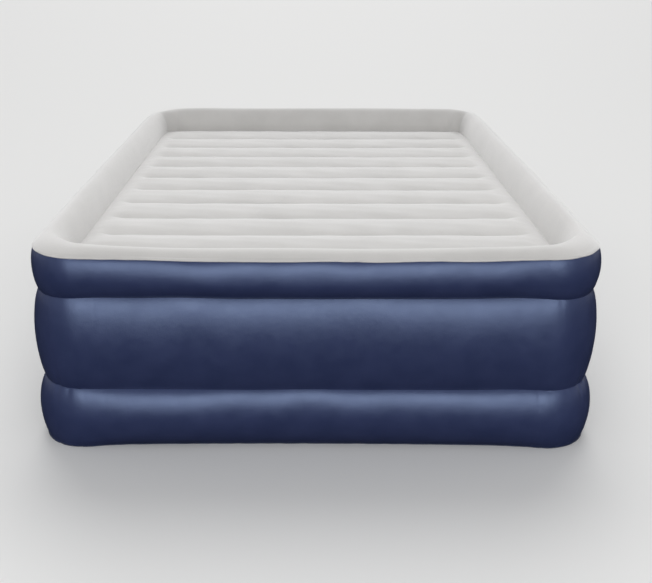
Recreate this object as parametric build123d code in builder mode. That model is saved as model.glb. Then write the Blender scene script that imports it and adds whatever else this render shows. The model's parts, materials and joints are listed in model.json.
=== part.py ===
"""Raised double-height air mattress with a built-in electric pump.

Frame: millimetres, +Z up, +Y from the foot end to the head end, origin on the floor under the centre.
The envelope is three side bands, a flocked top made of a rim and a channelled sleeping panel, and a flat
bottom. Dividers, webs and beams inside hold its shape. The pump sits in the head end of the middle band.
"""

import os
from math import asin, atan, cos, degrees, radians, sin, sqrt

from build123d import *

# ---------------------------------------------------------------- mattress sizes
length = 2030.0  # overall, over the lower band
width = 1520.0
height = 560.0  # floor to the crest of the rim
lower_seam_z = 169.0  # waist between the lower and the middle band
upper_seam_z = 426.0  # waist between the middle and the upper band
top_seam_z = 530.0  # where the flocked top meets the upper band
valley_z = 462.0  # valleys of the sleeping panel
crown = 16.0  # how far a channel rises above its valleys
channel_count = 11
sheet = 2.0  # thickness of every welded sheet
weld_lip = 3.0  # how far the welded edges of the top and the bottom stand out

# The seam loop is a rounded rectangle inside the walls. Every "out" value is measured outwards from it.
loop_inset = 44.0
loop_radius = 115.0
lower_reach = loop_inset  # the lower band is the widest part
middle_reach = 34.0
upper_reach = 24.0
floor_seam_out = 14.0
lower_seam_out = 6.0
upper_seam_out = 0.0
top_seam_out = 12.0
rim_crest_out = -18.0  # crest of the rim
rim_foot_out = -60.0  # foot of the rim's inner wall, on the sleeping panel

end_margin = 30.0  # flat border between the channel ends and the rim's foot
foot_clear = 12.0  # flat border beside the first and the last channel
web_gap = 22.0  # air gap between a channel web's end and the rim web
beam_count = 5
beam_end_gap = 150.0  # air gap between a beam's end and the walls
beam_spread = 0.62  # outermost beam, as a share of the half width
air_hole_radius = 30.0  # holes that let air pass between the tiers

# ---------------------------------------------------------------- pump sizes
pump_x = -430.0
face_recess = 17.0  # face plate behind the outermost line of the middle band
face_w, face_h, face_r = 195.6, 125.6, 22.0
face_t = 3.0
fit_gap = 0.2  # between parts that plug into each other
running_gap = 0.05  # radial, between a shaft and its hole
collar_wall = 2.0
collar_lip = 20.0  # width of the weld lip around the collar
collar_depth = 30.0
case_wall = 2.5
case_depth = 150.0  # face to the inside of the case's back wall

tray_u, tray_w, tray_h, tray_r = -46.0, 70.0, 96.0, 8.0  # mouth of the cord tray
tray_wall = 2.0
tray_depth = 50.0
door_gap = 0.3
door_t = 2.5
pin_r = 1.2
knuckle_r = 2.4
knuckle_back = 2.6  # pin axis in front of the face
pin_u = tray_u - tray_w / 2 - 2.5
knuckle_h = 14.0
notch_r = 9.0

blower_u, blower_w = 32.0, 14.0  # common axis of knob, drum, impeller and motor
knob_r, knob_t = 30.0, 4.0
grip_w, grip_t, grip_l = 9.0, 10.0, 50.0
knob_back = 1.0  # knob in front of the face
stem_r = 5.0
stem_grip = 9.0  # how deep the stem enters the knob
drum_r, drum_wall = 30.0, 2.5
drum_l = 38.0
sleeve_gap = 0.4
sleeve_wall = 2.0
window_w, window_l = 26.0, 24.0  # air windows of drum and sleeve
window_turn = 60.0  # the knob's turn from off to either side
volute_r, volute_wall = 42.0, 2.5
volute_l = 26.0
volute_gap = 3.0  # between the cord tray and the volute
eye_r = 19.0
impeller_r, blade_root_r, blade_count = 34.0, 15.0, 9
blade_gap, blade_l, disc_t = 3.5, 16.0, 2.0
blade_t, blade_sweep = 1.2, 40.0
hub_r = 6.0
bracket_t = 2.5
shaft_r = 2.0
shaft_tip = 2.0  # how far the shaft stands out at each end
motor_r, motor_l = 23.0, 40.0
cap_l = 8.0
motor_screw_r, motor_screw_ring, motor_screw_l = 1.25, 14.0, 8.0
motor_head_r, motor_head_t = 2.6, 1.5

screw_u, screw_w = 87.0, 52.0
screw_r, screw_l, screw_head_r = 1.5, 18.0, 3.0
boss_r, boss_l = 4.5, 26.0

switch_u, switch_w = 32.0, -38.0
switch_body_w, switch_body_h, switch_depth = 28.0, 16.0, 24.0
bezel_w, bezel_h, bezel_t = 32.0, 20.0, 1.5
rocker_w, rocker_h, rocker_t = 22.0, 12.0, 8.5
rocker_tilt = 10.0  # how far the rocker leans each way from level
rocker_pivot = 2.5  # depth of the rocker's pivot
rocker_side_gap = 0.5
rocker_pin_r, rocker_pin_l = 1.0, 1.2

slot_w, slot_h, slot_pitch, slot_count = 14.0, 3.0, 7.0, 11
filter_w, filter_h, filter_t = 18.0, 82.0, 4.0
filter_gap = 2.6  # between the drum's sleeve and the filter

valve_u, valve_w = -46.0, 0.0
port_r = 20.0
seat_r, seat_t = 26.0, 3.0
guide_r, guide_l, spoke_w = 4.5, 6.0, 3.0
poppet_r, poppet_t = 23.0, 3.0
valve_stem_r, valve_stem_l = 2.0, 26.0
retainer_r, retainer_t = 6.0, 1.5
spring_r, spring_wire_r, spring_turns = 4.2, 0.45, 5

gland_r, gland_bore_r, gland_flange_r, gland_l = 5.0, 3.6, 7.5, 12.0
gland_u, gland_w = -22.0, -38.0

# ---------------------------------------------------------------- values worked out from those
loop_x = width / 2 - loop_inset
loop_y = length / 2 - loop_inset
half_sheet = sheet / 2
face_y = loop_y + middle_reach - face_recess
pump_z = (lower_seam_z + upper_seam_z) / 2
face = Plane(origin=(pump_x, face_y, pump_z), x_dir=(-1, 0, 0), z_dir=(0, 1, 0))
rim_run = rim_crest_out - rim_foot_out
rim_rise = height - valley_z
shoulder_run = top_seam_out - rim_crest_out
shoulder_rise = height - top_seam_z - sheet
shoulder_radius = (shoulder_run**2 + shoulder_rise**2) / (2 * shoulder_rise)
collar_w, collar_h = face_w + 2 * collar_wall, face_h + 2 * collar_wall
channel_span = 2 * (loop_y + rim_foot_out - foot_clear)
channel_pitch = channel_span / channel_count
channel_half_x = loop_x + rim_foot_out - end_margin
tray_floor = face_t + tray_depth
sleeve_r = drum_r + sleeve_gap + sleeve_wall
slot_u = blower_u + sleeve_r + filter_gap + filter_w / 2
drum_front = face_t + sleeve_wall + sleeve_gap
drum_back = drum_front + drum_l
window_depth = (drum_front + drum_back) / 2
volute_front = tray_floor + tray_wall + volute_gap
volute_back = volute_front + volute_l
blade_front = volute_front + volute_wall + blade_gap
disc_front = blade_front + blade_l
motor_front = volute_back + bracket_t
motor_back = motor_front + motor_l
seat_depth = case_depth + case_wall
poppet_depth = seat_depth + seat_t
retainer_depth = poppet_depth - valve_stem_l


def at_depth(depth):
    """The plane parallel to the pump's face, that far inside it."""
    return face.offset(-depth)


def pocket(across, up, depth):
    """A point given from the face's middle: across it, up it and into the pump."""
    return face.from_local_coords(Vector(across, up, -depth))


def save(part, label):
    """Labels a finished piece and writes its file."""
    part.label = label
    export_step(part, f"parts/{label}.step")


def bulge(low, high, reach):
    """Outline of an inflated strip between two (out, z) ends: an outer arc, an inner arc and level ends."""
    (low_out, low_z), (high_out, high_z) = low, high
    low_drop, high_drop = reach - low_out, reach - high_out
    share = sqrt(low_drop) / (sqrt(low_drop) + sqrt(high_drop))
    peak_z = low_z + (high_z - low_z) * share
    low_thick = sheet / cos(2 * atan(low_drop / (peak_z - low_z)))
    high_thick = sheet / cos(2 * atan(high_drop / (high_z - peak_z)))
    low_in, high_in = (low_out - low_thick, low_z), (high_out - high_thick, high_z)
    outer = ThreePointArc(low, (reach, peak_z), high)
    inner = ThreePointArc(high_in, (reach - sheet, peak_z), low_in)
    return outer, Line(high, high_in), inner, Line(low_in, low)


def loop_outline(out, mode=Mode.ADD):
    """The seam loop grown outwards by that much, as a face on the current sketch."""
    return RectangleRounded(2 * (loop_x + out), 2 * (loop_y + out), loop_radius + out, mode=mode)


# The loop starts in the middle of the +X side, where the sections stand on the XZ plane.
turn_x, turn_y = loop_x - loop_radius, loop_y - loop_radius
with BuildLine() as seam_loop:
    Line((loop_x, 0), (loop_x, turn_y))
    CenterArc((turn_x, turn_y), loop_radius, 0, 90)
    Line((turn_x, loop_y), (-turn_x, loop_y))
    CenterArc((-turn_x, turn_y), loop_radius, 90, 90)
    Line((-loop_x, turn_y), (-loop_x, -turn_y))
    CenterArc((-turn_x, -turn_y), loop_radius, 180, 90)
    Line((-turn_x, -loop_y), (turn_x, -loop_y))
    CenterArc((turn_x, -turn_y), loop_radius, 270, 90)
    Line((loop_x, -turn_y), (loop_x, 0))

section_plane = Plane(origin=(loop_x, 0, 0), x_dir=(1, 0, 0), z_dir=(0, -1, 0))

os.makedirs("parts", exist_ok=True)

# ---------------------------------------------------------------- side bands
lower_ends = (floor_seam_out, sheet), (lower_seam_out, lower_seam_z - half_sheet)
middle_ends = (lower_seam_out, lower_seam_z + half_sheet), (upper_seam_out, upper_seam_z - half_sheet)
upper_ends = (upper_seam_out, upper_seam_z + half_sheet), (top_seam_out, top_seam_z)

with BuildPart() as lower_side_band:
    with BuildSketch(section_plane):
        with BuildLine():
            bulge(*lower_ends, lower_reach)
        make_face()
    sweep(path=seam_loop.wire())
save(lower_side_band.part, "lower_side_band")

with BuildPart() as middle_side_band:
    with BuildSketch(section_plane):
        with BuildLine():
            bulge(*middle_ends, middle_reach)
        make_face()
    sweep(path=seam_loop.wire())
    with BuildSketch(face.offset(face_recess + sheet)):
        RectangleRounded(collar_w, collar_h, face_r + collar_wall)
    extrude(amount=-(face_recess + 2 * loop_inset), mode=Mode.SUBTRACT)
save(middle_side_band.part, "middle_side_band")

with BuildPart() as upper_side_band:
    with BuildSketch(section_plane):
        with BuildLine():
            bulge(*upper_ends, upper_reach)
        make_face()
    sweep(path=seam_loop.wire())
save(upper_side_band.part, "upper_side_band")

# ---------------------------------------------------------------- flocked top
shoulder_centre = (rim_crest_out, height - shoulder_radius)


def shoulder_arc(radius, end_z):
    """The rim's outer shoulder, from that height up to the crest."""
    start = degrees(asin((end_z - shoulder_centre[1]) / radius))
    return CenterArc(shoulder_centre, radius, start, 90 - start)


with BuildPart() as rim_sheet:
    with BuildSketch(section_plane):
        with BuildLine():
            outer_shoulder = shoulder_arc(shoulder_radius, top_seam_z + sheet)
            inner_shoulder = shoulder_arc(shoulder_radius - sheet, top_seam_z)
            Polyline(
                inner_shoulder @ 0,
                (top_seam_out + weld_lip, top_seam_z),
                (top_seam_out + weld_lip, top_seam_z + sheet),
                outer_shoulder @ 0,
            )
            wall_foot = (rim_crest_out, valley_z)
            outer_wall = EllipticalCenterArc(wall_foot, rim_run, rim_rise, 90, arc_size=90)
            inner_wall = EllipticalCenterArc(wall_foot, rim_run - sheet, rim_rise - sheet, 90, arc_size=90)
            Line(outer_wall @ 1, inner_wall @ 1)
        make_face()
    sweep(path=seam_loop.wire())
save(rim_sheet.part, "rim_sheet")

valley_lines = [-channel_span / 2 + channel_pitch * n for n in range(channel_count + 1)]

with BuildPart() as sleeping_panel:
    with BuildSketch(Plane.XY.offset(valley_z - sheet)):
        loop_outline(rim_foot_out + 4 * sheet)
    extrude(amount=sheet)
    with BuildSketch(Plane.YZ):
        with BuildLine():
            for near, far in zip(valley_lines, valley_lines[1:]):
                ThreePointArc((near, valley_z), ((near + far) / 2, valley_z + crown), (far, valley_z))
            Polyline(
                (valley_lines[-1], valley_z),
                (valley_lines[-1], valley_z - sheet),
                (valley_lines[0], valley_z - sheet),
                (valley_lines[0], valley_z),
            )
        make_face()
    extrude(amount=channel_half_x, both=True)
    with BuildSketch(Plane.YZ):
        for near, far in zip(valley_lines, valley_lines[1:]):
            hollow_near = near + 2 * sheet, valley_z - sheet
            hollow_far = far - 2 * sheet, valley_z - sheet
            with BuildLine():
                ThreePointArc(hollow_near, ((near + far) / 2, valley_z + crown - sheet), hollow_far)
                Line(hollow_far, hollow_near)
            make_face()
    extrude(amount=channel_half_x - sheet, both=True, mode=Mode.SUBTRACT)
save(sleeping_panel.part, "sleeping_panel")

# ---------------------------------------------------------------- bottom and dividers
with BuildPart() as bottom_sheet:
    with BuildSketch():
        loop_outline(floor_seam_out + weld_lip)
    extrude(amount=sheet)
save(bottom_sheet.part, "bottom_sheet")

hole_x, hole_y = loop_x / 2, loop_y * 0.84

with BuildPart() as lower_divider:
    with BuildSketch(Plane.XY.offset(lower_seam_z - half_sheet)):
        loop_outline(lower_seam_out)
        with GridLocations(2 * hole_x, 2 * hole_y, 2, 2):
            Circle(air_hole_radius, mode=Mode.SUBTRACT)
    extrude(amount=sheet)
save(lower_divider.part, "lower_divider")

with BuildPart() as upper_divider:
    with BuildSketch(Plane.XY.offset(upper_seam_z - half_sheet)):
        loop_outline(upper_seam_out)
        with GridLocations(2 * hole_x, 2 * hole_y, 2, 2):
            Circle(air_hole_radius, mode=Mode.SUBTRACT)
    extrude(amount=sheet)
save(upper_divider.part, "upper_divider")

# ---------------------------------------------------------------- webs and beams inside
with BuildPart() as rim_web:
    with BuildSketch(Plane.XY.offset(upper_seam_z + half_sheet)):
        loop_outline(rim_foot_out + 2 * sheet)
        loop_outline(rim_foot_out + sheet, Mode.SUBTRACT)
    extrude(amount=valley_z - sheet - upper_seam_z - half_sheet)
save(rim_web.part, "rim_web")

web_half_x = loop_x + rim_foot_out - web_gap
for number, valley_y in enumerate(valley_lines[1:-1], start=1):
    with BuildPart() as channel_web:
        with BuildSketch(Plane.XY.offset(upper_seam_z + half_sheet)):
            with Locations((0, valley_y)):
                Rectangle(2 * web_half_x, sheet)
        extrude(amount=valley_z - sheet - upper_seam_z - half_sheet)
    save(channel_web.part, f"channel_web_{number:02d}")

beam_step = 2 * beam_spread * loop_x / (beam_count - 1)
beam_half_y = loop_y - beam_end_gap
for number in range(beam_count):
    beam_x = (number - (beam_count - 1) / 2) * beam_step
    with BuildPart() as middle_beam:
        with BuildSketch(Plane.XY.offset(lower_seam_z + half_sheet)):
            with Locations((beam_x, 0)):
                Rectangle(sheet, 2 * beam_half_y)
        extrude(amount=upper_seam_z - lower_seam_z - sheet)
    save(middle_beam.part, f"middle_beam_{number + 1}")
    with BuildPart() as base_beam:
        with BuildSketch(Plane.XY.offset(sheet)):
            with Locations((beam_x, 0)):
                Rectangle(sheet, 2 * beam_half_y)
        extrude(amount=lower_seam_z - half_sheet - sheet)
    save(base_beam.part, f"base_beam_{number + 1}")

# ---------------------------------------------------------------- pump collar, welded to the middle band
lip_w, lip_h = collar_w + 2 * collar_lip, collar_h + 2 * collar_lip
head_section = Plane(origin=(pump_x - lip_w / 2, loop_y, 0), x_dir=(0, 1, 0), z_dir=(1, 0, 0))


def head_slab(inner, outer, back):
    """The space in front of the pump between the band's outer face plus inner and plus outer."""
    (low_out, low_z), (high_out, high_z) = middle_ends
    low_drop, high_drop = middle_reach - low_out, middle_reach - high_out
    peak_z = low_z + (high_z - low_z) * sqrt(low_drop) / (sqrt(low_drop) + sqrt(high_drop))
    with BuildPart() as slab:
        with BuildSketch(head_section):
            with BuildLine():
                low, high = (low_out + outer, low_z), (high_out + outer, high_z)
                ThreePointArc(low, (middle_reach + outer, peak_z), high)
                if back:
                    Polyline(high, (-back, high_z), (-back, low_z), low)
                else:
                    high_in, low_in = (high_out + inner, high_z), (low_out + inner, low_z)
                    Line(high, high_in)
                    ThreePointArc(high_in, (middle_reach + inner, peak_z), low_in)
                    Line(low_in, low)
            make_face()
        extrude(amount=lip_w)
    return slab.part


with BuildPart() as pump_collar:
    with BuildSketch(face.offset(face_recess + 3 * sheet)):
        RectangleRounded(lip_w, lip_h, face_r + collar_lip)
        RectangleRounded(face_w, face_h, face_r, mode=Mode.SUBTRACT)
    extrude(amount=-(face_recess + 2 * loop_inset))
    add(head_slab(0, collar_wall, 0), mode=Mode.INTERSECT)
    with BuildPart(mode=Mode.PRIVATE) as tube:
        with BuildSketch(at_depth(collar_depth)):
            RectangleRounded(collar_w, collar_h, face_r + collar_wall)
            RectangleRounded(face_w, face_h, face_r, mode=Mode.SUBTRACT)
        extrude(amount=collar_depth + face_recess + 3 * sheet)
        add(head_slab(0, collar_wall / 2, loop_inset), mode=Mode.INTERSECT)
    add(tube.part)
save(pump_collar.part, "pump_collar")

# ---------------------------------------------------------------- pump case and face plate
with BuildPart() as pump_case:
    with BuildSketch(at_depth(face_t)):
        RectangleRounded(face_w, face_h, face_r)
    extrude(amount=-(case_depth + case_wall - face_t))
    with BuildSketch(at_depth(face_t)):
        RectangleRounded(face_w - 2 * case_wall, face_h - 2 * case_wall, face_r - case_wall)
    extrude(amount=-(case_depth - face_t), mode=Mode.SUBTRACT)
    with BuildSketch(at_depth(face_t)):
        with GridLocations(2 * screw_u, 2 * screw_w, 2, 2):
            Circle(boss_r)
    extrude(amount=-boss_l)
    with BuildSketch(at_depth(face_t)):
        with GridLocations(2 * screw_u, 2 * screw_w, 2, 2):
            Circle(screw_r + running_gap)
    extrude(amount=-(boss_l - case_wall), mode=Mode.SUBTRACT)
    with BuildSketch(at_depth(case_depth)):
        with Locations((valve_u, valve_w)):
            Circle(port_r)
    extrude(amount=-case_wall, mode=Mode.SUBTRACT)
save(pump_case.part, "pump_case")

fixed_knuckles = (-tray_h / 2 + knuckle_h / 2, 0, tray_h / 2 - knuckle_h / 2)
door_knuckles = (-tray_h / 4, tray_h / 4)

with BuildPart() as pump_face_plate:
    with BuildSketch(face):
        RectangleRounded(face_w, face_h, face_r)
    extrude(amount=-face_t)
    with BuildSketch(face):
        with Locations((tray_u, 0)):
            RectangleRounded(tray_w, tray_h, tray_r)
        with Locations((blower_u, blower_w)):
            Circle(stem_r + running_gap)
        with Locations((switch_u, switch_w)):
            Rectangle(switch_body_w + 2 * fit_gap, switch_body_h + 2 * fit_gap)
        with Locations((slot_u, 0)):
            with GridLocations(0, slot_pitch, 1, slot_count):
                SlotOverall(slot_w, slot_h)
    extrude(amount=-face_t, mode=Mode.SUBTRACT)
    with Locations(face):
        with GridLocations(2 * screw_u, 2 * screw_w, 2, 2):
            CounterSinkHole(screw_r + running_gap, screw_head_r + running_gap, face_t)
    for row in fixed_knuckles:
        with BuildSketch(Plane(pocket(pin_u, row - knuckle_h / 2, -knuckle_back), x_dir=(-1, 0, 0))):
            Circle(knuckle_r)
            with Locations((0, knuckle_back / 2)):
                Rectangle(2 * knuckle_r, knuckle_back + fit_gap)
            Circle(pin_r, mode=Mode.SUBTRACT)
        extrude(amount=knuckle_h)
save(pump_face_plate.part, "pump_face_plate")

head_drop = screw_head_r - screw_r
with BuildPart() as face_screws:
    with BuildSketch(at_depth(head_drop)):
        with GridLocations(2 * screw_u, 2 * screw_w, 2, 2):
            Circle(screw_r)
    extrude(amount=-(screw_l - head_drop))
    with Locations(at_depth(head_drop / 2)):
        with GridLocations(2 * screw_u, 2 * screw_w, 2, 2):
            Cone(screw_r, screw_head_r, head_drop)
    with BuildSketch(face):
        with GridLocations(2 * screw_u, 2 * screw_w, 2, 2):
            Rectangle(3.2, 0.8)
            Rectangle(0.8, 3.2)
    extrude(amount=-1.0, mode=Mode.SUBTRACT)
save(face_screws.part, "face_screws")

# ---------------------------------------------------------------- cord tray, gland and door
with BuildPart() as cord_tray:
    with BuildSketch(at_depth(face_t)):
        with Locations((tray_u, 0)):
            RectangleRounded(tray_w + 2 * tray_wall, tray_h + 2 * tray_wall, tray_r + tray_wall)
    extrude(amount=-(tray_depth + tray_wall))
    with BuildSketch(at_depth(face_t)):
        with Locations((tray_u, 0)):
            RectangleRounded(tray_w, tray_h, tray_r)
    extrude(amount=-tray_depth, mode=Mode.SUBTRACT)
    with BuildSketch(at_depth(face_t + tray_depth)):
        with Locations((gland_u, gland_w)):
            Circle(gland_r)
    extrude(amount=-tray_wall, mode=Mode.SUBTRACT)
save(cord_tray.part, "cord_tray")

with BuildPart() as cord_gland:
    with BuildSketch(at_depth(tray_floor - tray_wall)):
        with Locations((gland_u, gland_w)):
            Circle(gland_flange_r)
    extrude(amount=-tray_wall)
    with BuildSketch(at_depth(tray_floor - tray_wall)):
        with Locations((gland_u, gland_w)):
            Circle(gland_r)
    extrude(amount=-gland_l)
    with BuildSketch(at_depth(tray_floor - tray_wall)):
        with Locations((gland_u, gland_w)):
            Circle(gland_bore_r)
    extrude(amount=-gland_l, mode=Mode.SUBTRACT)
save(cord_gland.part, "cord_gland")

door_w, door_h = tray_w - 2 * door_gap, tray_h - 2 * door_gap
with BuildPart() as cord_door:
    with BuildSketch(face):
        with Locations((tray_u, 0)):
            RectangleRounded(door_w, door_h, tray_r - door_gap)
        with Locations((tray_u + tray_w / 2, 0)):
            Circle(notch_r, mode=Mode.SUBTRACT)
    extrude(amount=-door_t)
    for row in door_knuckles:
        with BuildSketch(Plane(pocket(pin_u, row - knuckle_h / 2, -knuckle_back), x_dir=(-1, 0, 0))):
            Circle(knuckle_r)
            with Locations((knuckle_r + 1.5, knuckle_back - knuckle_r / 2 - 2 * running_gap)):
                Rectangle(2 * knuckle_r + 3.0, knuckle_r)
            Circle(pin_r + running_gap, mode=Mode.SUBTRACT)
        extrude(amount=knuckle_h)
    with BuildSketch(face.offset(fit_gap)):
        for row in door_knuckles:
            with Locations((tray_u - door_w / 2 + 2.5, row)):
                Rectangle(5.0, knuckle_h)
    extrude(amount=-door_t)
save(cord_door.part, "cord_door")

with BuildPart() as door_pin:
    with BuildSketch(Plane(pocket(pin_u, -tray_h / 2 - 1, -knuckle_back), x_dir=(-1, 0, 0))):
        Circle(pin_r)
    extrude(amount=tray_h + 2)
save(door_pin.part, "door_pin")

# ---------------------------------------------------------------- selector knob, drum and sleeve
def window_plane(turn):
    """The plane through the drum's axis that faces that many degrees round from the +u side."""
    facing = (-cos(radians(turn)), 0, sin(radians(turn)))
    return Plane(pocket(blower_u, blower_w, window_depth), x_dir=(0, 1, 0), z_dir=facing)


with BuildPart() as selector_knob:
    with BuildSketch(face.offset(knob_back)):
        with Locations((blower_u, blower_w)):
            Circle(knob_r)
    extrude(amount=knob_t)
    chamfer(selector_knob.faces().sort_by(Axis.Y)[-1].edges(), 1.2)
    with BuildSketch(face.offset(knob_back + knob_t)):
        with Locations((blower_u, blower_w)):
            SlotOverall(grip_l, grip_w, rotation=90)
    extrude(amount=grip_t, taper=4)
    fillet(selector_knob.faces().sort_by(Axis.Y)[-1].edges(), 2.0)
    with BuildSketch(face.offset(knob_back)):
        with Locations((blower_u, blower_w)):
            Circle(stem_r)
    extrude(amount=stem_grip, mode=Mode.SUBTRACT)
save(selector_knob.part, "selector_knob")

with BuildPart() as selector_drum:
    with BuildSketch(at_depth(drum_front)):
        with Locations((blower_u, blower_w)):
            Circle(drum_r)
    extrude(amount=-(drum_back - drum_front))
    with BuildSketch(at_depth(drum_front + drum_wall)):
        with Locations((blower_u, blower_w)):
            Circle(drum_r - drum_wall)
    extrude(amount=-(drum_back - drum_front - drum_wall), mode=Mode.SUBTRACT)
    for turn in (window_turn, 180 - window_turn):
        with BuildSketch(window_plane(turn)):
            Rectangle(window_l, window_w)
        extrude(amount=2 * drum_r, mode=Mode.SUBTRACT)
    with BuildSketch(at_depth(drum_front)):
        with Locations((blower_u, blower_w)):
            Circle(stem_r)
    extrude(amount=drum_front + knob_back + stem_grip)
save(selector_drum.part, "selector_drum")

with BuildPart() as drum_sleeve:
    with BuildSketch(at_depth(face_t)):
        with Locations((blower_u, blower_w)):
            Circle(sleeve_r)
    extrude(amount=-(volute_front - face_t))
    with BuildSketch(at_depth(drum_front - sleeve_gap)):
        with Locations((blower_u, blower_w)):
            Circle(drum_r + sleeve_gap)
    extrude(amount=-(volute_front - drum_front + sleeve_gap), mode=Mode.SUBTRACT)
    with BuildSketch(at_depth(0)):
        with Locations((blower_u, blower_w)):
            Circle(stem_r + running_gap)
    extrude(amount=-drum_front, mode=Mode.SUBTRACT)
    with BuildSketch(window_plane(0)):
        Rectangle(window_l, window_w)
    extrude(amount=2 * drum_r, both=True, mode=Mode.SUBTRACT)
save(drum_sleeve.part, "drum_sleeve")

# ---------------------------------------------------------------- blower
with BuildPart() as blower_volute:
    with BuildSketch(at_depth(volute_front)):
        with Locations((blower_u, blower_w)):
            Circle(volute_r)
    extrude(amount=-(volute_back - volute_front))
    with BuildSketch(at_depth(volute_front + volute_wall)):
        with Locations((blower_u, blower_w)):
            Circle(volute_r - volute_wall)
    extrude(amount=-(volute_back - volute_front - volute_wall), mode=Mode.SUBTRACT)
    with BuildSketch(at_depth(volute_front)):
        with Locations((blower_u, blower_w)):
            Circle(eye_r)
    extrude(amount=-volute_wall, mode=Mode.SUBTRACT)
    with BuildSketch(at_depth(volute_front + volute_wall)):
        with Locations((blower_u - volute_r, blower_w - volute_r / 2)):
            Rectangle(volute_r, volute_r / 2)
    extrude(amount=-(volute_back - volute_front - 2 * volute_wall), mode=Mode.SUBTRACT)
save(blower_volute.part, "blower_volute")

with BuildPart() as impeller:
    with BuildSketch(at_depth(disc_front)):
        with Locations((blower_u, blower_w)):
            Circle(impeller_r)
    extrude(amount=-disc_t)
    with BuildSketch(at_depth(blade_front)):
        with Locations((blower_u, blower_w)):
            Circle(hub_r)
    extrude(amount=-(disc_front - blade_front))
    with BuildSketch(at_depth(blade_front)) as blades:
        with Locations((blower_u, blower_w)):
            with PolarLocations(0, blade_count):
                with BuildLine():
                    root = (blade_root_r, 0)
                    tip_angle = radians(blade_sweep)
                    tip_r = impeller_r - blade_t
                    tip = (tip_r * cos(tip_angle), tip_r * sin(tip_angle))
                    bend = (0.72 * impeller_r * cos(tip_angle / 4), 0.72 * impeller_r * sin(tip_angle / 4))
                    blade_line = ThreePointArc(root, bend, tip)
                trace(blade_line, blade_t)
    extrude(amount=-(disc_front - blade_front))
    with BuildSketch(at_depth(blade_front)):
        with Locations((blower_u, blower_w)):
            Circle(shaft_r)
    extrude(amount=-(disc_front + disc_t - blade_front), mode=Mode.SUBTRACT)
save(impeller.part, "impeller")

with BuildPart() as motor_bracket:
    with BuildSketch(at_depth(volute_back)):
        with Locations((blower_u, blower_w)):
            Circle(volute_r)
            Circle(hub_r, mode=Mode.SUBTRACT)
            with PolarLocations(motor_screw_ring, 2):
                Circle(motor_screw_r + running_gap, mode=Mode.SUBTRACT)
    extrude(amount=-bracket_t)
save(motor_bracket.part, "motor_bracket")

with BuildPart() as motor:
    with BuildSketch(at_depth(motor_front)):
        with Locations((blower_u, blower_w)):
            Circle(motor_r)
            with PolarLocations(motor_screw_ring, 2):
                Circle(motor_screw_r + running_gap, mode=Mode.SUBTRACT)
            Circle(shaft_r + running_gap, mode=Mode.SUBTRACT)
    extrude(amount=-motor_l)
    chamfer(motor.faces().sort_by(Axis.Y)[-1].outer_wire().edges(), 1.5)
save(motor.part, "motor")

with BuildPart() as motor_end_cap:
    with BuildSketch(at_depth(motor_back)):
        with Locations((blower_u, blower_w)):
            Circle(motor_r)
            Circle(shaft_r + running_gap, mode=Mode.SUBTRACT)
    extrude(amount=-cap_l)
    with BuildSketch(at_depth(motor_back + cap_l)):
        with Locations((blower_u - motor_r / 2, blower_w), (blower_u + motor_r / 2, blower_w)):
            Rectangle(4, 0.8)
    extrude(amount=-4)
save(motor_end_cap.part, "motor_end_cap")

with BuildPart() as motor_shaft:
    with BuildSketch(at_depth(blade_front - shaft_tip)):
        with Locations((blower_u, blower_w)):
            Circle(shaft_r)
    extrude(amount=-(motor_back + cap_l - blade_front + 2 * shaft_tip))
save(motor_shaft.part, "motor_shaft")

with BuildPart() as motor_screws:
    with BuildSketch(at_depth(volute_back)):
        with Locations((blower_u, blower_w)):
            with PolarLocations(motor_screw_ring, 2):
                Circle(motor_screw_r)
    extrude(amount=-motor_screw_l)
    with BuildSketch(at_depth(volute_back)):
        with Locations((blower_u, blower_w)):
            with PolarLocations(motor_screw_ring, 2):
                Circle(motor_head_r)
    extrude(amount=motor_head_t)
save(motor_screws.part, "motor_screws")

# ---------------------------------------------------------------- intake filter
with BuildPart() as intake_filter:
    with BuildSketch(at_depth(face_t)):
        with Locations((slot_u, 0)):
            RectangleRounded(filter_w, filter_h, 2)
    extrude(amount=-filter_t)
save(intake_filter.part, "intake_filter")

# ---------------------------------------------------------------- rocker switch
rocker_plane = Plane(pocket(switch_u, switch_w, rocker_pivot), x_dir=(0, 1, 0), z_dir=(0, 0, 1))
with BuildPart() as switch_body:
    with BuildSketch(face):
        with Locations((switch_u, switch_w)):
            Rectangle(bezel_w, bezel_h)
    extrude(amount=bezel_t)
    with BuildSketch(face):
        with Locations((switch_u, switch_w)):
            Rectangle(switch_body_w, switch_body_h)
    extrude(amount=-switch_depth)
    with BuildSketch(face.offset(bezel_t)):
        with Locations((switch_u, switch_w)):
            Rectangle(rocker_w + 6 * rocker_side_gap, rocker_h + 2 * rocker_side_gap)
    extrude(amount=-(bezel_t + rocker_pivot + rocker_t), mode=Mode.SUBTRACT)
    with BuildSketch(rocker_plane):
        Circle(rocker_pin_r + running_gap)
    extrude(amount=rocker_h / 2 + rocker_side_gap + rocker_pin_l + fit_gap, both=True, mode=Mode.SUBTRACT)
    with BuildSketch(at_depth(switch_depth)):
        with Locations((switch_u - 8, switch_w), (switch_u + 8, switch_w)):
            Rectangle(0.8, 4)
    extrude(amount=-5)
save(switch_body.part, "switch_body")

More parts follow.
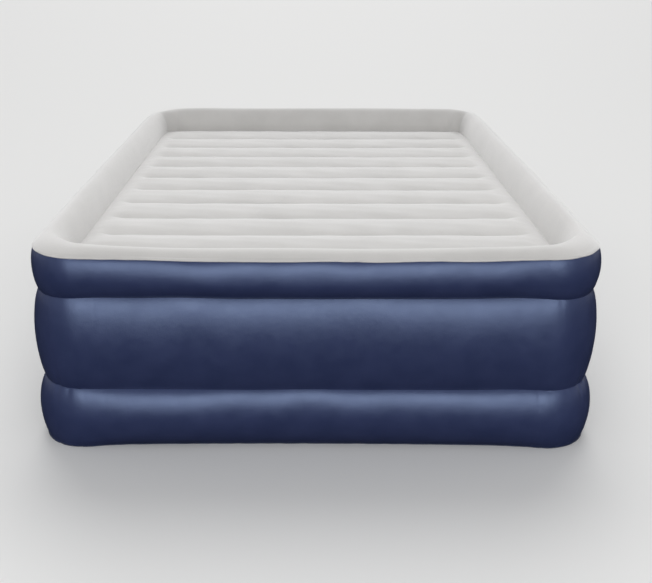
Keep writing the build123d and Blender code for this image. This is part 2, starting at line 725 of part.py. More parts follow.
rocker_half, rocker_front, rocker_back = rocker_w / 2, 0.65 * rocker_t, -0.35 * rocker_t
with BuildPart() as switch_rocker:
    with BuildSketch(rocker_plane.rotated((0, 0, -rocker_tilt))):
        with BuildLine():
            Polyline(
                (rocker_front, rocker_half),
                (rocker_front - 5.0, rocker_half - 0.5),
                (rocker_back, 3.0),
                (rocker_back, -3.0),
                (rocker_front - 5.0, -rocker_half + 0.5),
                (rocker_front, -rocker_half),
            )
            ThreePointArc((rocker_front, -rocker_half), (rocker_front - 1.5, 0), (rocker_front, rocker_half))
        make_face()
    extrude(amount=rocker_h / 2, both=True)
    with BuildSketch(rocker_plane):
        Circle(rocker_pin_r)
    extrude(amount=rocker_h / 2 + rocker_side_gap + rocker_pin_l, both=True)
save(switch_rocker.part, "switch_rocker")

# ---------------------------------------------------------------- check valve
with BuildPart() as valve_seat:
    with BuildSketch(at_depth(seat_depth)):
        with Locations((valve_u, valve_w)):
            Circle(seat_r)
            Circle(port_r, mode=Mode.SUBTRACT)
            Rectangle(2 * port_r + 1, spoke_w)
            Rectangle(spoke_w, 2 * port_r + 1)
    extrude(amount=-seat_t)
    with BuildSketch(at_depth(seat_depth)):
        with Locations((valve_u, valve_w)):
            Circle(guide_r)
    extrude(amount=guide_l)
    with BuildSketch(at_depth(seat_depth - guide_l)):
        with Locations((valve_u, valve_w)):
            Circle(valve_stem_r + running_gap)
    extrude(amount=-(guide_l + seat_t), mode=Mode.SUBTRACT)
save(valve_seat.part, "valve_seat")

with BuildPart() as valve_poppet:
    with BuildSketch(at_depth(poppet_depth)):
        with Locations((valve_u, valve_w)):
            Circle(poppet_r)
    extrude(amount=-poppet_t)
    with BuildSketch(at_depth(poppet_depth)):
        with Locations((valve_u, valve_w)):
            Circle(valve_stem_r)
    extrude(amount=valve_stem_l)
    with BuildSketch(at_depth(retainer_depth)):
        with Locations((valve_u, valve_w)):
            Circle(retainer_r)
    extrude(amount=-retainer_t)
save(valve_poppet.part, "valve_poppet")

spring_front = retainer_depth + retainer_t + spring_wire_r
spring_l = seat_depth - guide_l - spring_wire_r - spring_front
with BuildPart() as valve_spring:
    with BuildLine():
        spring_start = pocket(valve_u, valve_w, spring_front)
        coil = Helix(spring_l / spring_turns, spring_l, spring_r, center=spring_start, direction=(0, -1, 0))
    with BuildSketch(Plane(coil @ 0, z_dir=coil % 0)):
        Circle(spring_wire_r)
    sweep(path=coil)
save(valve_spring.part, "valve_spring")
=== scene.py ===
"""Looks of the raised air mattress: its flocked top, its bulging vinyl wall and the pump at its head end.

Everything is in metres in the CAD frame: +Z up, +Y towards the head end, the floor at zero. The outer skins
replace their CAD solids, and follow the same seams. The pump and the inner sheets keep their CAD nodes, with
better materials.
"""

import json
import math

import bmesh
import bpy
import numpy as np
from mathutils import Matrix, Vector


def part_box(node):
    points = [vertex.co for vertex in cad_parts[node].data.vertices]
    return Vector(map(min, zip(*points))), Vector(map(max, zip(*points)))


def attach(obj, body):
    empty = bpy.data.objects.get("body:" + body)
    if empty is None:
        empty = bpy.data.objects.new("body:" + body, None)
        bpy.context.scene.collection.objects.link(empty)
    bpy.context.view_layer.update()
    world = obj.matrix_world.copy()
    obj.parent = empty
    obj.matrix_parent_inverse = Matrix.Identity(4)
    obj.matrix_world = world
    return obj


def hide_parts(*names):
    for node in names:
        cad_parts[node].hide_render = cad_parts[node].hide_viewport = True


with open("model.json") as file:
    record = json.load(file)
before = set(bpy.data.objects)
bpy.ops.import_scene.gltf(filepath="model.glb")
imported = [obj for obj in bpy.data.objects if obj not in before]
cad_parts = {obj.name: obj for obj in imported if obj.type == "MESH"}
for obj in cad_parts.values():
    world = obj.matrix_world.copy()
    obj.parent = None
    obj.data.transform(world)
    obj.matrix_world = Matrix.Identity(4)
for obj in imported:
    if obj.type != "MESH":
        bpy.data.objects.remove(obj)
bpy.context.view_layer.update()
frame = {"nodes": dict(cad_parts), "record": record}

# ---------------------------------------------------------------- sizes, from the frame where it has them
corner_radius = 0.115  # of the seam loop that every section is measured out from
waist_out = 0.0  # the seam loop is the upper waist
loop_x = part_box("upper_divider")[1].x
loop_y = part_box("upper_divider")[1].y
sheet = 0.002  # thickness of the CAD sheets
skin = 0.0008  # thickness of the skins drawn here
foot_under = 0.008  # how far the CAD panel reaches under the rim's foot
lip = 0.003  # how far the welded edges stand out
crest_out = -0.018  # crest of the rim
foot_swing = 0.008  # the rim's foot is this much further out than in the CAD, and further in at the head end
corner_fill = 0.026  # how far the rim's crest and wall come in at the corners
channel_count = 11
channel_end = 0.022  # from the rim's foot to the ends of the seams between channels
seam_fade = 0.060  # over which those seams fade out
border_level = 0.6  # height of the border beside the channels, as a share of their crown

floor_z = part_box("bottom_sheet")[1].z
lower_seam_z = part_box("middle_side_band")[0].z
upper_seam_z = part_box("upper_side_band")[0].z
top_seam_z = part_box("upper_side_band")[1].z
crest_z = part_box("rim_sheet")[1].z
valley_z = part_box("sleeping_panel")[0].z + sheet
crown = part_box("sleeping_panel")[1].z - valley_z

floor_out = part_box("bottom_sheet")[1].x - lip - loop_x
lower_seam_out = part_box("lower_divider")[1].x - loop_x
top_seam_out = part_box("rim_sheet")[1].x - lip - loop_x
foot_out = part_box("sleeping_panel")[1].x - foot_under - loop_x
lower_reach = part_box("lower_side_band")[1].x - loop_x
middle_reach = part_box("middle_side_band")[1].x - loop_x
upper_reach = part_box("upper_side_band")[1].x - loop_x

# The foot end is pushed out by the air between its corners. The head end is held flat by the pump's collar.
bow_floor, bow_lower, bow_upper, bow_top = -0.014, 0.006, 0.012, 0.012  # of the seams
bow_lower_band, bow_upper_band = 0.4 * bow_floor, 0.018  # of the widest line of the two outer bands
upper_droop = 0.013  # the upper band is widest this much lower in the middle of the foot end
hem_lift = 0.006  # the hem is lowest in the middle of the foot end, and this much higher elsewhere
crest_sag = 0.010  # the rim is this much lower in the middle of the foot end
side_bow_share = 0.4  # the long sides bow this much of what the foot end does

# At the corners the seams stand further out than along the walls, and the waists a little higher or lower.
floor_corner_out = 0.017
lower_corner_out, lower_corner_lift = 0.014, 0.003
upper_corner_out, upper_corner_lift = 0.012, -0.003

around = 1480  # points round each band
band_rows = 36
rim_rows = 44

# ---------------------------------------------------------------- the seam loop
def seam_loop(count):
    """Points, outward normals and distances travelled, evenly spaced round the rounded rectangle."""
    run_x, run_y = loop_x - corner_radius, loop_y - corner_radius
    quarter = math.pi / 2 * corner_radius
    total = 4 * (run_x + run_y + quarter)
    travelled = np.arange(count) * total / count
    points, normals = np.zeros((count, 2)), np.zeros((count, 2))
    start = 0.0
    heading = 0
    corners = [(run_x, run_y), (-run_x, run_y), (-run_x, -run_y), (run_x, -run_y), (run_x, run_y)]
    for number in range(5):
        half = number in (0, 4)
        straight = run_y if half else (2 * run_x if number % 2 else 2 * run_y)
        facing = np.array([math.cos(heading), math.sin(heading)])
        along = np.array([-facing[1], facing[0]])
        end = np.array(corners[number]) + corner_radius * facing
        begin = end - straight * along if number < 4 else np.array([loop_x, -run_y])
        here = (travelled >= start) & (travelled < start + straight + 1e-9)
        points[here] = begin + np.outer(travelled[here] - start, along)
        normals[here] = facing
        start += straight
        if number < 4:
            here = (travelled >= start) & (travelled < start + quarter)
            turn = heading + (travelled[here] - start) / corner_radius
            normals[here] = np.stack([np.cos(turn), np.sin(turn)], axis=1)
            points[here] = np.array(corners[number]) + corner_radius * normals[here]
            start += quarter
            heading += math.pi / 2
    return points, normals, travelled / total


loop_points, loop_normals, loop_share = seam_loop(around)
corner_weight = np.clip(2 * np.abs(loop_normals[:, 0] * loop_normals[:, 1]), 0, 1)
end_bow = (1 - (loop_points[:, 0] / loop_x) ** 2) * np.clip(-loop_normals[:, 1], 0, 1) ** 2
side_bow = (1 - (loop_points[:, 1] / loop_y) ** 2) * loop_normals[:, 0] ** 2
bow_shape = end_bow + side_bow_share * side_bow


def near_corner(reach):
    """Close to 1 in the corners and falling off along the straights, over about that many metres."""
    spread = corner_weight.copy()
    step = 4 * (loop_x + loop_y) / around
    window = np.exp(-0.5 * (np.arange(-3 * reach, 3 * reach, step) / reach) ** 2)
    padded = np.concatenate([spread[-len(window):], spread, spread[: len(window)]])
    spread = np.convolve(padded, window, mode="same")[len(window) : -len(window)]
    return spread / spread.max()


def ripple(seed, low, high, terms=16):
    """A repeatable wave round the loop, between about -1 and 1, made of waves low to high times round."""
    picker = np.random.default_rng(seed)
    wave = np.zeros(around)
    for _ in range(terms):
        times = picker.integers(low, high)
        wave += picker.uniform(0.5, 1.0) * np.sin(2 * math.pi * (times * loop_share + picker.uniform()))
    rms = 0.55 * math.sqrt(terms)
    return wave / (1.6 * rms)


def puckers(seed, pitch, share):
    """Sharp folds about pitch metres apart, where share of them is deep and the rest nearly flat."""
    times = int(4 * (loop_x + loop_y) / pitch)
    phase = times * loop_share + 0.35 * ripple(seed, 20, 60)
    fold = np.abs(np.sin(math.pi * phase))
    strength = np.clip(ripple(seed + 1, 60, 200) + share, 0, 1.2)
    return (1 - fold) ** 2 * strength


# ---------------------------------------------------------------- mesh helpers
def grid_mesh(name, rows):
    """A mesh from rows of points round the loop, each (around, 3), joined into quads."""
    points = np.concatenate(rows)
    count = len(rows[0])
    faces = []
    for row in range(len(rows) - 1):
        low, high = row * count, (row + 1) * count
        for step in range(count):
            after = (step + 1) % count
            faces.append((low + step, low + after, high + after, high + step))
    mesh = bpy.data.meshes.new(name)
    mesh.from_pydata(points.tolist(), [], faces)
    mesh.validate()
    mesh.shade_smooth()
    piece = bpy.data.objects.new(name, mesh)
    bpy.context.scene.collection.objects.link(piece)
    return piece


def ring(out, height):
    """Points round the loop, out metres outside it and at that height. Both may vary round the loop."""
    out = np.broadcast_to(out, around)
    height = np.broadcast_to(height, around)
    level = loop_points + loop_normals * out[:, None]
    return np.column_stack([level, height])


def arc_through(low, high, reach, droop, calm):
    """Points (out, z) of the arc from low to high that is widest at reach, and droop lower than an even arc.

    Where calm is 1 the arc lies just inside the CAD one, and elsewhere it is a little fuller.
    """
    fullness = 0.20 * (1 - calm)
    low_drop, high_drop = reach - low[0], reach - high[0]
    rise = high[1] - low[1]
    peak = low[1] + rise * np.sqrt(low_drop) / (np.sqrt(low_drop) + np.sqrt(high_drop)) - droop
    rows = []
    for share in np.linspace(0, 1, band_rows):
        # Rows gather towards the two seams, where the wall turns in fastest.
        z = low[1] + rise * (0.5 - 0.5 * np.cos(math.pi * share))
        below = z < peak
        run = np.where(below, (peak - z) / (peak - low[1]), (z - peak) / (high[1] - peak))
        drop = np.where(below, low_drop, high_drop)
        curve = (1 - fullness) * run**2 + fullness * run**8
        rows.append((reach - drop * curve - calm_sink * calm * (1 - run**4), z))
    return rows


# ---------------------------------------------------------------- seams, shared by the pieces they join
seam_wander = 0.0012  # up and down
straight_share = 0.12  # of the puckers' depth that is left along the straight walls
divider_cover = 0.0012  # the skins meet this far outside the edge of the inner divider
calm_sink = 0.0015  # how far the skin lies under the lip of the pump's collar
waist_gather = near_corner(0.07)


def seam(out, height, bow, seed, depth, corner_out=0.0, corner_lift=0.0):
    """A seam line round the mattress: bowed, wandering a little, and drawn into puckers at the corners."""
    gathered = puckers(seed, pitch=0.034, share=0.25) * (straight_share + waist_gather) * depth
    line_out = out + divider_cover + bow * bow_shape - gathered + corner_out * waist_gather
    line_z = height + seam_wander * ripple(seed + 2, 3, 30) + 0.4 * gathered * ripple(seed + 3, 100, 240)
    return line_out, line_z + corner_lift * waist_gather


floor_seam = seam(floor_out, floor_z, bow_floor, 11, 0.002, floor_corner_out)
floor_seam = floor_seam[0], np.full(around, floor_z)
lower_seam = seam(lower_seam_out, lower_seam_z, bow_lower, 23, 0.004, lower_corner_out, lower_corner_lift)
upper_seam = seam(waist_out, upper_seam_z, bow_upper, 37, 0.0015, upper_corner_out, upper_corner_lift)
top_seam = seam(top_seam_out, top_seam_z, bow_top, 53, 0.0008)
top_seam = top_seam[0], top_seam[1] + hem_lift * (1 - end_bow)

belly_wander = 0.0015  # slow waves along the widest line of a band
belly_soft = 0.0012  # and quicker ones over its middle
fold_reach = 0.020  # this far from a seam its folds are about a third as deep
fold_start = 0.003  # from a seam to where its folds are deepest
straight_fold = 0.10  # of the folds' depth that is left along the straight walls


def band(name, low, high, reach, bow, seed, gather, droop=0.0, calm=0.0):
    """One bulging strip of the wall between two seams, drawn into puckers beside them."""
    rows = []
    reach_line = reach + bow * bow_shape + belly_wander * ripple(seed, 2, 14) * (1 - calm)
    fold_low = puckers(seed + 1, pitch=0.030, share=0.2)
    fold_high = puckers(seed + 2, pitch=0.034, share=0.15)
    soft = belly_soft * ripple(seed + 3, 8, 40) * (1 - calm)
    sections = arc_through(low, high, reach_line, droop * bow_shape, calm)
    for out, z in sections:
        below, above = z - low[1], high[1] - z
        crease = fold_low * np.exp(-below / fold_reach) * np.minimum(1, below / fold_start)
        crease += 0.8 * fold_high * np.exp(-above / (0.9 * fold_reach)) * np.minimum(1, above / fold_start)
        middle = np.clip(4 * below * above / (high[1] - low[1]) ** 2, 0, 1)
        out = out - gather * (straight_fold + waist_gather) * crease + soft * middle
        rows.append(ring(out, z))
    return grid_mesh(name, rows)


# The skin lies still beside the pump's collar, and a little under its lip.
collar_low, collar_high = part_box("pump_collar")
calm_reach, calm_fade = 0.07, 0.05  # how far to each side of the collar, and the last part that fades
beside_collar = np.maximum(collar_low.x - loop_points[:, 0], loop_points[:, 0] - collar_high.x)
near_collar = np.clip((calm_reach - beside_collar) / calm_fade, 0, 1) * (loop_points[:, 1] > 0)
near_collar = near_collar**2 * (3 - 2 * near_collar)

lower_band = band("lower_band", floor_seam, lower_seam, lower_reach, bow_lower_band, 101, 0.006)
middle_band = band(
    "middle_band", lower_seam, upper_seam, middle_reach, bow_lower, 131, 0.0015, calm=near_collar
)
upper_band = band(
    "upper_band", upper_seam, top_seam, upper_reach, bow_upper_band, 151, 0.002, droop=upper_droop
)

# ---------------------------------------------------------------- opening for the pump's collar
hole_margin = 0.022  # the collar's lip hides the edge of the hole


def open_for_collar(piece):
    """Takes out the wall behind the pump's collar."""
    mesh = piece.data
    gone = []
    for face in mesh.polygons:
        centre = face.center
        across = collar_low.x + hole_margin < centre.x < collar_high.x - hole_margin
        up = collar_low.z + hole_margin < centre.z < collar_high.z - hole_margin
        if across and up and centre.y > 0:
            gone.append(face.index)
    work = bmesh.new()
    work.from_mesh(mesh)
    work.faces.ensure_lookup_table()
    bmesh.ops.delete(work, geom=[work.faces[index] for index in gone], context="FACES")
    work.to_mesh(mesh)
    work.free()


open_for_collar(middle_band)

# ---------------------------------------------------------------- rim: the raised edge of the flocked top
bow_line = bow_top * bow_shape
head_end = np.clip(loop_normals[:, 1], 0, 1) ** 2
foot_line = foot_swing * (1 - 2 * head_end)
lip_wave = 0.0006 * ripple(71, 30, 160)

# Each point of the section: out, z, and how much of the top seam's bow it follows. The lip comes first, then
# the outer shoulder up to the crest, the inner wall, and a fillet down to the panel.
shoulder_foot = top_seam_z + 0.004
crest_bow = 0.7  # the crest follows this share of the top seam's bow
fillet = 0.010
skin_clear = 0.001  # from the CAD wall in to this one, and from the valleys up to the end of the fillet
wall_run = crest_out - foot_out + skin_clear
wall_drop = crest_z - valley_z - fillet - skin_clear
rim_section = [
    (top_seam_out - 0.001, top_seam_z - 0.0006, 1.0),
    (top_seam_out + lip, top_seam_z - 0.0012, 1.0),
    (top_seam_out + lip + 0.0007, top_seam_z + 0.0002, 1.0),
    (top_seam_out + lip, top_seam_z + 0.0016, 1.0),
    (top_seam_out + 0.0012, top_seam_z + 0.0022, 1.0),
    (top_seam_out + 0.0004, shoulder_foot, 1.0),
]
lip_count, foot_count = 4, len(rim_section)  # points on the lip, and up to the foot of the shoulder
for share in np.linspace(0, 1, rim_rows // 2)[1:]:
    out = top_seam_out + (crest_out - top_seam_out) * share
    z = shoulder_foot + (crest_z - shoulder_foot) * (1 - (1 - share) ** 2)
    rim_section.append((out, z, 1.0 - (1.0 - crest_bow) * share))
for turn in np.linspace(0, math.pi / 2, rim_rows)[1:]:
    out = crest_out - wall_run * math.sin(turn)
    z = crest_z - wall_drop * (1 - math.cos(turn))
    rim_section.append((out, z, crest_bow * (1 - 2 * turn / math.pi)))
for turn in np.linspace(0, math.pi / 2, 8)[1:]:
    out = crest_out - wall_run - fillet * (1 - math.cos(turn))
    rim_section.append((out, crest_z - wall_drop - fillet * math.sin(turn), 0.0))

rim_soft = 0.0012 * ripple(83, 4, 22)
rim_fold = puckers(91, pitch=0.045, share=0.1) * (0.05 + near_corner(0.05))
seam_fold, seam_fold_rise = 0.003, 0.010  # depth of the folds at the top seam, and where a third is left
foot_fold, foot_fold_rise = 0.004, 0.014  # the same at the foot of the inner wall
foot_fold_out = crest_out - 0.02  # the folds at the foot stay inside this line


def part_way(value, start, end):
    """How far value has come from start to end, kept between 0 and 1."""
    return min(1, max(0, (value - start) / (end - start)))


rim_rings = []
for number, (out, z, bow_share) in enumerate(rim_section):
    on_lip, above_lip, above_foot = number < lip_count, number > lip_count, number > foot_count
    lift = math.sin(math.pi / 2 * part_way(z, valley_z, crest_z))
    seam_pull = seam_fold * math.exp(-max(0.0, z - top_seam_z) / seam_fold_rise) * (out > crest_out)
    foot_pull = foot_fold * math.exp(-(z - valley_z) / foot_fold_rise) * (out < foot_fold_out)
    shift = bow_share * bow_line + on_lip * lip_wave + (foot_pull - above_lip * seam_pull) * rim_fold
    shift = shift + part_way(out, crest_out, foot_out) * foot_line
    shift = shift - part_way(out, top_seam_out, crest_out) * corner_fill * waist_gather
    height_share = part_way(z, top_seam_z, crest_z)
    level = (top_seam[1] - top_seam_z) * (1 - height_share) * (out > crest_out)
    level = level - crest_sag * end_bow * height_share
    rim_rings.append(ring(out + shift, z + level + above_foot * lift * rim_soft))
rim = grid_mesh("top_rim", rim_rings)

# ---------------------------------------------------------------- sleeping panel: channels inside the rim
panel_x = loop_x + foot_out + foot_swing
panel_near, panel_far = -(loop_y + foot_out + foot_swing), loop_y + foot_out - foot_swing
near_clear, far_clear = 0.002, 0.008  # from the rim's foot to the first and the last channel
first_channel = panel_near + near_clear
channel_pitch = (panel_far - far_clear - first_channel) / channel_count
under = 0.010  # the panel reaches this far under the rim
panel_columns, panel_rows = 170, 560
roundness = 0.2  # 0 makes each channel's section a parabola, 1 makes it half an ellipse
rounding, edge_level = 0.045, 0.6  # over which the panel rises from the rim's foot, and where it starts
channel_wander, panel_soft = 0.0014, 0.0008  # of the seams between channels, and of the height
column_x = np.linspace(-panel_x - under, panel_x + under, panel_columns)
row_y = np.linspace(panel_near - under, panel_far + under, panel_rows)
grid_x, grid_y = np.meshgrid(column_x, row_y)
picker = np.random.default_rng(5)


def slow_noise(scale_x, scale_y, terms=14):
    """A repeatable smooth wave over the panel, between about -1 and 1."""
    wave = np.zeros_like(grid_x)
    for _ in range(terms):
        kx, ky = picker.normal(0, 1 / scale_x), picker.normal(0, 1 / scale_y)
        wave += np.sin(2 * math.pi * (kx * grid_x + ky * grid_y + picker.uniform()))
    return wave / math.sqrt(terms)


wander = channel_wander * slow_noise(0.9, 0.5)
phase = (grid_y + wander - first_channel) / channel_pitch
arch = np.sqrt(np.clip(1 - (2 * (phase - np.floor(phase)) - 1) ** 2, 0, 1))
arch = roundness * arch + (1 - roundness) * arch**2
arch[(phase < 0) | (phase > channel_count)] = 0
foot_corner = corner_radius + foot_out
over_x = np.clip(np.abs(grid_x) - (panel_x - foot_corner), 0, None)
from_end = np.minimum(grid_y - panel_near, panel_far - grid_y)
over_y = np.clip(foot_corner - from_end, 0, None)
from_foot = np.where(
    (over_x > 0) & (over_y > 0),
    foot_corner - np.hypot(over_x, over_y),
    np.minimum(panel_x - np.abs(grid_x), from_end),
)
end_distance = panel_x - channel_end - np.abs(grid_x)
fade = np.clip(end_distance / seam_fade, 0, 1)
fade = fade * fade * (3 - 2 * fade)
height = fade * arch + (1 - fade) * border_level
foot_rise = np.clip(from_foot / rounding, 0, 1)
height = height * (edge_level + (1 - edge_level) * np.sin(foot_rise * math.pi / 2))
height = valley_z + crown * height + panel_soft * slow_noise(0.22, 0.12) * foot_rise
height = np.where(from_foot < 0, valley_z - 0.0005, height)

panel_mesh = bpy.data.meshes.new("sleeping_top")
panel_points = np.column_stack([grid_x.ravel(), grid_y.ravel(), height.ravel()])
corner = np.arange(panel_rows - 1)[:, None] * panel_columns + np.arange(panel_columns - 1)[None, :]
corner = corner.ravel()
panel_faces = np.column_stack([corner, corner + 1, corner + panel_columns + 1, corner + panel_columns])
panel_mesh.from_pydata(panel_points.tolist(), [], panel_faces.tolist())
panel_mesh.shade_smooth()
panel = bpy.data.objects.new("sleeping_top", panel_mesh)
bpy.context.scene.collection.objects.link(panel)

# ---------------------------------------------------------------- bottom, with its welded lip
bottom_rings = []
lip_droop = 0.0004 * ripple(61, 20, 120)
for out, z in ((-0.001, floor_z), (lip, floor_z), (lip + 0.0006, 0.0012), (lip, 0.0003), (-0.002, 0.0)):
    bottom_rings.append(ring(floor_seam[0] + out, np.clip(z + (lip_droop if out > 0 else 0), 0, None)))
bottom_rings.append(ring(-0.03, 0.0))
bottom = grid_mesh("bottom_cover", bottom_rings)


def close_with_face(piece):
    """Fills the last ring of a piece with one flat face."""
    work = bmesh.new()
    work.from_mesh(piece.data)
    work.verts.ensure_lookup_table()
    first = len(work.verts) - around
    work.faces.new([work.verts[first + step] for step in range(around)])
    bmesh.ops.recalc_face_normals(work, faces=work.faces)
    work.to_mesh(piece.data)
    work.free()


close_with_face(bottom)

for piece in (lower_band, middle_band, upper_band, rim, panel):
    shell = piece.modifiers.new("thickness", "SOLIDIFY")
    shell.thickness = skin
    shell.offset = -1

# ---------------------------------------------------------------- materials
def shade(name, base, roughness):
    """A new material with its Principled shader, given back with its node tree and that shader."""
    material = bpy.data.materials.new(name)
    material.use_nodes = True
    tree = material.node_tree
    surface = tree.nodes["Principled BSDF"]
    surface.inputs["Base Color"].default_value = (*base, 1)
    surface.inputs["Roughness"].default_value = roughness
    return material, tree, surface


def node(tree, kind, links=(), **values):
    """Adds a node, sets its named inputs and links others from the given sockets."""
    made = tree.nodes.new(kind)
    for key, value in values.items():
        name = key.replace("_", " ")
        if name in made.inputs:
            made.inputs[name].default_value = value
        else:
            setattr(made, key, value)
    for socket, source in dict(links).items():
        tree.links.new(source, made.inputs[socket])
    return made


def where(tree, kind="Object"):
    """The texture coordinates of that kind."""
    return tree.nodes.new("ShaderNodeTexCoord").outputs[kind]


def blotches(tree, place, dark, light, scale, detail=3.0):
    """Colour that drifts between dark and light, with spots about one over scale metres across."""
    noise = node(tree, "ShaderNodeTexNoise", {"Vector": place}, Scale=scale, Detail=detail)
    ramp = node(tree, "ShaderNodeValToRGB", {"Fac": noise.outputs["Fac"]})
    ramp.color_ramp.elements[0].position, ramp.color_ramp.elements[1].position = 0.35, 0.65
    ramp.color_ramp.elements[0].color = (*dark, 1)
    ramp.color_ramp.elements[1].color = (*light, 1)
    return ramp.outputs["Color"]


def bump(tree, height, distance, strength, normal=None):
    """Bumps of that height in metres, on top of another normal if one is given."""
    links = {"Height": height}
    if normal:
        links["Normal"] = normal
    made = node(tree, "ShaderNodeBump", links, Distance=distance, Strength=strength)
    return made.outputs["Normal"]


def flock_material():
    """Short velvety flock: nearly matt, with a pale sheen, fine fibres and faint brushed patches."""
    material, tree, surface = shade("flock", (0.60, 0.59, 0.576), 0.95)
    place = where(tree)
    patches = blotches(tree, place, (0.590, 0.580, 0.564), (0.626, 0.615, 0.599), 9.0)
    specks = blotches(tree, place, (0.86, 0.86, 0.86), (1.0, 1.0, 1.0), 1400.0)
    mixed = node(tree, "ShaderNodeMix", data_type="RGBA", blend_type="MULTIPLY")
    mixed.inputs["Factor"].default_value = 0.5
    tree.links.new(patches, mixed.inputs[6])
    tree.links.new(specks, mixed.inputs[7])
    tree.links.new(mixed.outputs[2], surface.inputs["Base Color"])
    surface.inputs["Sheen Weight"].default_value = 1.0
    surface.inputs["Sheen Roughness"].default_value = 0.5
    surface.inputs["Specular IOR Level"].default_value = 0.15
    fibre = node(tree, "ShaderNodeTexNoise", {"Vector": place}, Scale=1100.0, Detail=2.0)
    nap = node(tree, "ShaderNodeTexNoise", {"Vector": place}, Scale=55.0, Detail=4.0)
    soft = bump(tree, nap.outputs["Fac"], 0.004, 0.12)
    fine = bump(tree, fibre.outputs["Fac"], 0.0006, 0.35, soft)
    tree.links.new(fine, surface.inputs["Normal"])
    return material


def vinyl_material(name, dark, light, roughness, grain):
    """Calendered vinyl: satin, with a fine pebbled grain and slightly uneven gloss."""
    material, tree, surface = shade(name, dark, roughness)
    place = where(tree)
    tree.links.new(blotches(tree, place, dark, light, 14.0), surface.inputs["Base Color"])
    surface.inputs["Specular IOR Level"].default_value = 0.6
    surface.inputs["Specular Tint"].default_value = (0.56, 0.71, 1.0, 1)
    gloss = node(tree, "ShaderNodeTexNoise", {"Vector": place}, Scale=30.0, Detail=5.0)
    spread = node(tree, "ShaderNodeMapRange", {"Value": gloss.outputs["Fac"]})
    spread.inputs["From Min"].default_value, spread.inputs["From Max"].default_value = 0.3, 0.7
    spread.inputs["To Min"].default_value = roughness - 0.05
    spread.inputs["To Max"].default_value = roughness + 0.05
    tree.links.new(spread.outputs["Result"], surface.inputs["Roughness"])
    pebbles = node(tree, "ShaderNodeTexVoronoi", {"Vector": place}, Scale=650.0)
    slack = node(tree, "ShaderNodeTexNoise", {"Vector": place}, Scale=38.0, Detail=3.0)
    soft = bump(tree, slack.outputs["Fac"], 0.004, 0.10)
    fine = bump(tree, pebbles.outputs["Distance"], 0.0005, grain, soft)
    tree.links.new(fine, surface.inputs["Normal"])
    return material


def plastic_material(name, colour, roughness, grain=0.25):
    """Moulded plastic with a spark-eroded texture and slight wear in its colour."""
    material, tree, surface = shade(name, colour, roughness)
    place = where(tree)
    lighter = tuple(min(1.0, channel * 1.18 + 0.006) for channel in colour)
    tree.links.new(blotches(tree, place, colour, lighter, 60.0), surface.inputs["Base Color"])
    texture = node(tree, "ShaderNodeTexNoise", {"Vector": place}, Scale=2600.0, Detail=2.0)
    tree.links.new(bump(tree, texture.outputs["Fac"], 0.0002, grain), surface.inputs["Normal"])
    return material


def steel_material():
    """Zinc-plated steel with fine drawn lines."""
    material, tree, surface = shade("zinc_steel", (0.6, 0.61, 0.62), 0.32)
    place = where(tree)
    surface.inputs["Metallic"].default_value = 1.0
    patches = blotches(tree, place, (0.5, 0.51, 0.53), (0.68, 0.68, 0.67), 300.0)
    tree.links.new(patches, surface.inputs["Base Color"])
    lines = node(tree, "ShaderNodeTexNoise", {"Vector": place}, Scale=1800.0, Detail=2.0)
    tree.links.new(bump(tree, lines.outputs["Fac"], 0.0001, 0.2), surface.inputs["Normal"])
    return material


def foam_material():
    """Open-cell filter foam."""
    material, tree, surface = shade("filter_foam", (0.03, 0.03, 0.03), 0.95)
    place = where(tree)
    patches = blotches(tree, place, (0.015, 0.015, 0.015), (0.09, 0.09, 0.09), 900.0)
    tree.links.new(patches, surface.inputs["Base Color"])
    cells = node(tree, "ShaderNodeTexVoronoi", {"Vector": place}, Scale=900.0)
    tree.links.new(bump(tree, cells.outputs["Distance"], 0.0008, 0.8), surface.inputs["Normal"])
    return material


flock = flock_material()
navy = vinyl_material("navy_vinyl", (0.030, 0.041, 0.109), (0.036, 0.048, 0.123), 0.35, 0.30)
base_vinyl = vinyl_material("base_vinyl", (0.022, 0.027, 0.060), (0.028, 0.034, 0.072), 0.60, 0.55)
collar_vinyl = vinyl_material("collar_vinyl", (0.030, 0.038, 0.095), (0.036, 0.045, 0.108), 0.42, 0.2)
inner_vinyl = vinyl_material("inner_vinyl", (0.46, 0.48, 0.52), (0.52, 0.54, 0.58), 0.5, 0.3)
by_slot = {
    "inner_vinyl": inner_vinyl,
    "collar_vinyl": collar_vinyl,
    "face_plastic": plastic_material("face_plastic", (0.055, 0.060, 0.072), 0.48, 0.35),
    "case_plastic": plastic_material("case_plastic", (0.020, 0.020, 0.022), 0.5),
    "knob_plastic": plastic_material("knob_plastic", (0.33, 0.34, 0.35), 0.4, 0.2),
    "works_plastic": plastic_material("works_plastic", (0.62, 0.62, 0.58), 0.45),
    "switch_plastic": plastic_material("switch_plastic", (0.012, 0.012, 0.012), 0.4),
    "rocker_plastic": plastic_material("rocker_plastic", (0.018, 0.018, 0.019), 0.22, 0.08),
    "valve_rubber": plastic_material("valve_rubber", (0.025, 0.025, 0.025), 0.75, 0.5),
    "filter_foam": foam_material(),
    "steel": steel_material(),
}


def wear(piece, material):
    """Gives the piece that material and no other."""
    piece.data.materials.clear()
    piece.data.materials.append(material)


slots = {entry["node"]: entry["material_slot"] for entry in frame["record"]["subparts"]}
for name, cad_node in frame["nodes"].items():
    if slots[name] in by_slot:
        wear(cad_node, by_slot[slots[name]])

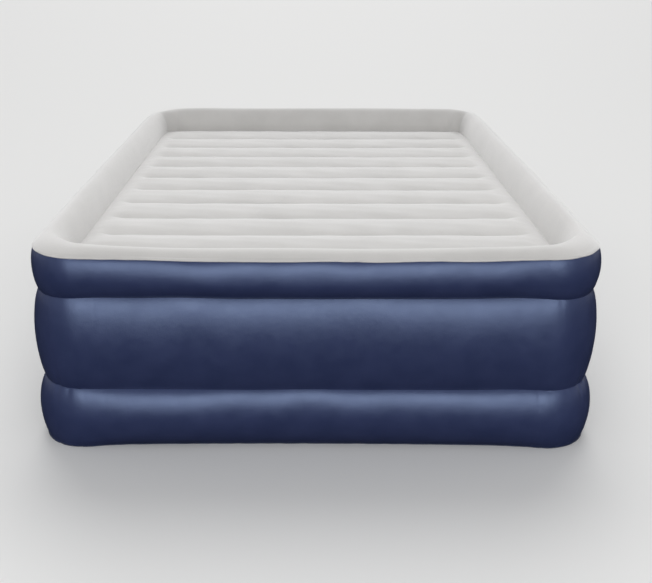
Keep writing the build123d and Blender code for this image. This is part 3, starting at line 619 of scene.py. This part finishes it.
for piece, material, slot, nodes, fill in (
    (rim, flock, "flock", ("rim_sheet",), 1.0),
    (panel, flock, "flock", ("sleeping_panel",), 0.95),
    (upper_band, navy, "wall_vinyl", ("upper_side_band",), 1.0),
    (middle_band, navy, "wall_vinyl", ("middle_side_band",), 1.0),
    (lower_band, navy, "wall_vinyl", ("lower_side_band",), 1.0),
    (bottom, base_vinyl, "base_vinyl", ("bottom_sheet",), 1.0),
):
    wear(piece, material)
    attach(piece, "mattress")
    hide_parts(*nodes)

# ---------------------------------------------------------------- studio
world = bpy.data.worlds.new("studio")
bpy.context.scene.world = world
world.use_nodes = True
sky_tree = world.node_tree
sky = sky_tree.nodes["Background"]
heading_of = node(sky_tree, "ShaderNodeSeparateXYZ", {"Vector": where(sky_tree, "Generated")})
rising = node(sky_tree, "ShaderNodeMapRange", {"Value": heading_of.outputs["Z"]})
rising.inputs["From Min"].default_value, rising.inputs["From Max"].default_value = -0.14, -0.04
dome = node(sky_tree, "ShaderNodeValToRGB", {"Fac": rising.outputs["Result"]})
dome.color_ramp.elements[0].color = (0.03, 0.03, 0.033, 1)
dome.color_ramp.elements[1].color = (0.97, 0.97, 0.98, 1)
sky_tree.links.new(dome.outputs["Color"], sky.inputs["Color"])
sky.inputs["Strength"].default_value = 0.55

half = 35.0  # of the floor's side
floor_corners = [(-half, -half, 0), (half, -half, 0), (half, half, 0), (-half, half, 0)]
floor_mesh = bpy.data.meshes.new("studio_floor")
floor_mesh.from_pydata(floor_corners, [], [(0, 1, 2, 3)])
floor = bpy.data.objects.new("studio_floor", floor_mesh)
floor.location.z = -0.0005
bpy.context.scene.collection.objects.link(floor)
floor_material = shade("pale_floor", (0.78, 0.78, 0.77), 0.7)[0]
wear(floor, floor_material)
floor.visible_diffuse = False
floor.visible_glossy = False


def area_light(name, place, aim, size, watts, glossy_only):
    """A soft rectangular light of that size, at place and facing aim, that gives only highlights or none."""
    data = bpy.data.lights.new(name, "AREA")
    data.shape = "RECTANGLE"
    data.size, data.size_y = size
    data.energy = watts
    lamp = bpy.data.objects.new(name, data)
    lamp.location = place
    lamp.visible_camera = False
    lamp.visible_diffuse = not glossy_only
    lamp.visible_glossy = glossy_only
    direction = np.array(aim, float) - np.array(place, float)
    lamp.rotation_euler = (
        math.acos(-direction[2] / np.linalg.norm(direction)),
        0,
        math.atan2(direction[1], direction[0]) - math.pi / 2,
    )
    bpy.context.scene.collection.objects.link(lamp)


sun_data = bpy.data.lights.new("overhead", "SUN")
sun_data.energy = 1.6
sun_data.angle = math.radians(50)
sun = bpy.data.objects.new("overhead", sun_data)
sun.rotation_euler = (math.radians(-45), 0, 0)
bpy.context.scene.collection.objects.link(sun)
area_light("front_softbox", (0.0, -5.5, 2.1), (0.0, -1.0, 0.3), (6.0, 3.0), 108.0, glossy_only=False)
area_light("front_gloss", (0.0, -5.6, 2.1), (0.0, -1.0, 0.3), (6.6, 3.2), 310.0, glossy_only=True)

# ---------------------------------------------------------------- camera, beyond the foot end
camera_data = bpy.data.cameras.new("camera")
camera_data.sensor_width = 36.0
camera_data.lens = 48.1
camera_data.shift_x = 0.0320
camera = bpy.data.objects.new("camera", camera_data)
camera.location = (-0.013, -3.005, 1.259)
camera.rotation_euler = (math.radians(90 - 21.9), 0, math.radians(0.35))
bpy.context.scene.collection.objects.link(camera)
bpy.context.scene.camera = camera
bpy.context.scene.view_settings.view_transform = "Standard"
